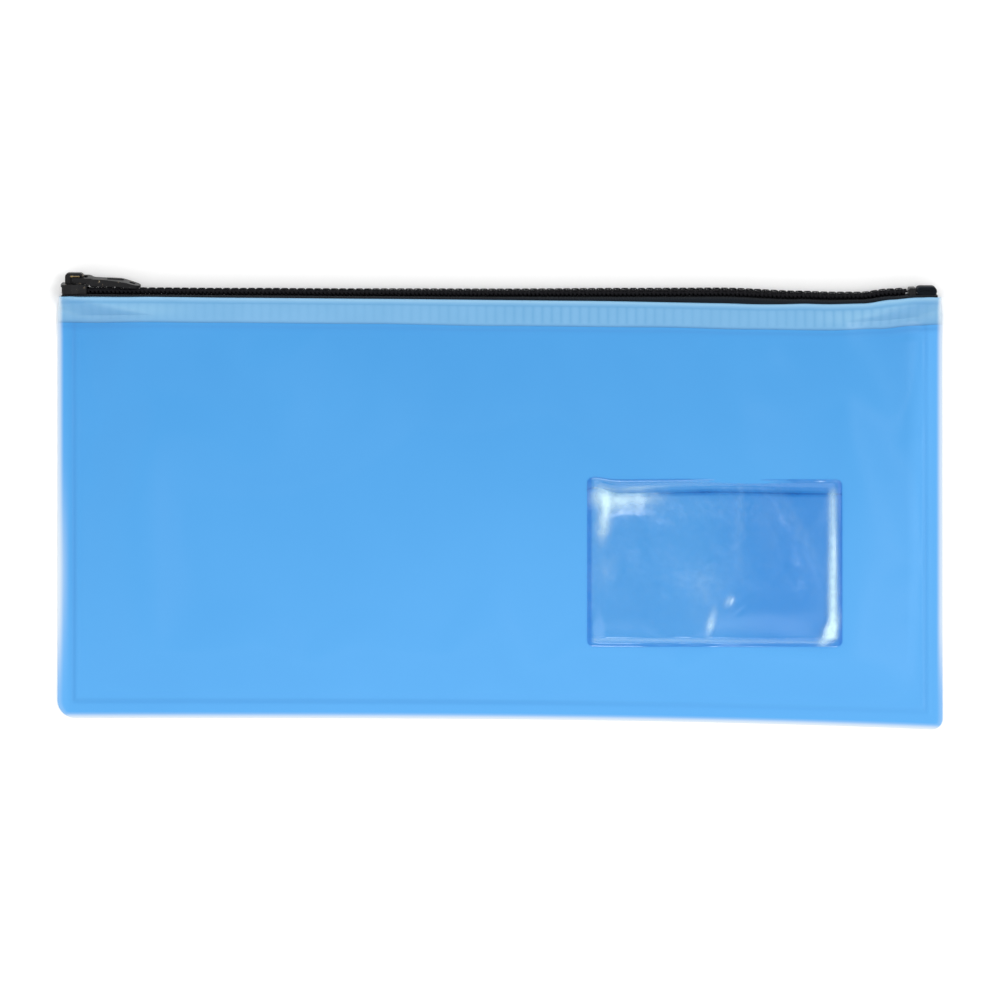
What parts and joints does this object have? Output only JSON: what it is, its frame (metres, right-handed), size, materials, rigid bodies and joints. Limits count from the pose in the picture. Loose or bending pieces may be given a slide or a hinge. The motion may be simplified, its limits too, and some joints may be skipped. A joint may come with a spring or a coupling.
{
  "type": "zipped cash deposit bag",
  "caption": "Flat vinyl zip pouch for carrying cash and deposit slips, with a clear card window on the front and a black coil zip with a sliding puller along the top edge.",
  "frame": {"origin": "bottom centre of the bounding box, with the bag lying on its back wall", "axes": "+X along the zip from its closed end to its open end, +Y from the bottom seam to the zip, +Z out of the front wall"},
  "size_m": [0.34, 0.1712, 0.012],
  "materials": {
    "vinyl": "soft sky-blue vinyl sheet with a fine even grain and a low sheen",
    "clear_film": "clear glossy soft film, slightly rippled",
    "frosted_strip": "milky translucent vinyl with the fine ribs of the weld",
    "zip_tape": "black woven polyester tape",
    "coil": "black nylon monofilament",
    "thread": "black sewing thread",
    "stop_metal": "black lacquered clip",
    "slider_metal": "black lacquered die-casting, worn brighter on its edges",
    "spring_brass": "plain spring brass"
  },
  "bodies": {
    "root": {"back_panel": "vinyl", "back_weld_strip": "frosted_strip", "back_tape": "zip_tape", "back_coil": "coil", "back_core_cord": "thread", "back_stitching": "thread", "back_top_stop": "stop_metal", "bottom_stop": "stop_metal"},
    "front_wall": {"front_panel": "vinyl", "window_film": "clear_film", "front_weld_strip": "frosted_strip", "front_tape": "zip_tape", "front_coil": "coil", "front_core_cord": "thread", "front_stitching": "thread", "front_top_stop": "stop_metal"},
    "slider": {"slider_body": "slider_metal", "slider_crown": "slider_metal"},
    "tab": {"pull_tab": "slider_metal"},
    "pawl": {"lock_spring": "spring_brass"}
  },
  "joints": [
    {"name": "slider_travel", "type": "slide", "parent": "root", "child": "slider", "axis": [1, 0, 0], "range_m": [0, 0.315], "deforming": ["back_tape", "back_coil", "back_core_cord", "back_stitching"]},
    {"name": "mouth_open", "type": "hinge", "parent": "root", "child": "front_wall", "pos_m": [0, -0.08562, 0.00045], "axis": [1, 0, 0], "range_deg": [0, 12], "deforming": ["front_tape", "front_coil", "front_core_cord", "front_stitching"]},
    {"name": "tab_flip", "type": "hinge", "parent": "slider", "child": "tab", "pos_m": [-0.1638, 0.0829, 0.00723], "axis": [0, -0.1736, 0.9848], "range_deg": [0, 180]},
    {"name": "pawl_lift", "type": "hinge", "parent": "slider", "child": "pawl", "pos_m": [-0.16505, 0.08393, 0.00741], "axis": [0, -0.1736, 0.9848], "range_deg": [0, 5]}
  ],
  "couplings": [
    {"joint": "mouth_open", "follows": "slider_travel", "rad_per_m": 0.6648},
    {"joint": "pawl_lift", "follows": "tab_flip", "ratio": 0.0277}
  ]
}
